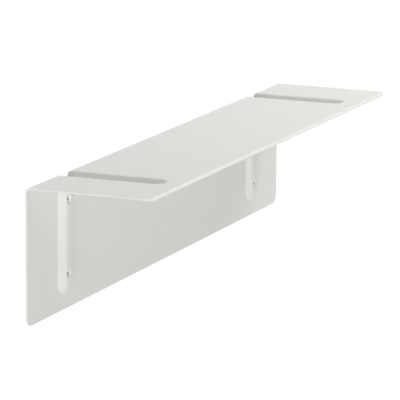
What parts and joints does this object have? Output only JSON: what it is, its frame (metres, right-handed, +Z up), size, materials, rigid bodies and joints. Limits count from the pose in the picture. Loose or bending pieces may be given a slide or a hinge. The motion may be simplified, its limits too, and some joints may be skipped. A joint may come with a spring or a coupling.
{
  "type": "wall shelf",
  "caption": "Wall shelf folded from one coated steel sheet: flat shelf, wall plate and two stiffening beads pressed round the bend, with countersunk screws and wall plugs.",
  "frame": {"origin": "on the wall's surface, midway between the four fixing holes", "axes": "+X along the shelf's length, +Y into the wall, +Z up; the shelf's upper face is at Z = 77 mm and its front edge at Y = -160 mm"},
  "size_m": [0.8, 0.1923, 0.168],
  "materials": {
    "powder_coat": "satin powder coat with a fine grain, warm light grey",
    "zinc_screw": "bright zinc plating",
    "nylon_plug": "moulded grey nylon"
  },
  "bodies": {
    "root": {"folded_sheet": "powder_coat", "wall_screw_upper_left": "zinc_screw", "wall_screw_upper_right": "zinc_screw", "wall_screw_lower_left": "zinc_screw", "wall_screw_lower_right": "zinc_screw", "wall_plug_upper_left": "nylon_plug", "wall_plug_upper_right": "nylon_plug", "wall_plug_lower_left": "nylon_plug", "wall_plug_lower_right": "nylon_plug"}
  },
  "joints": []
}
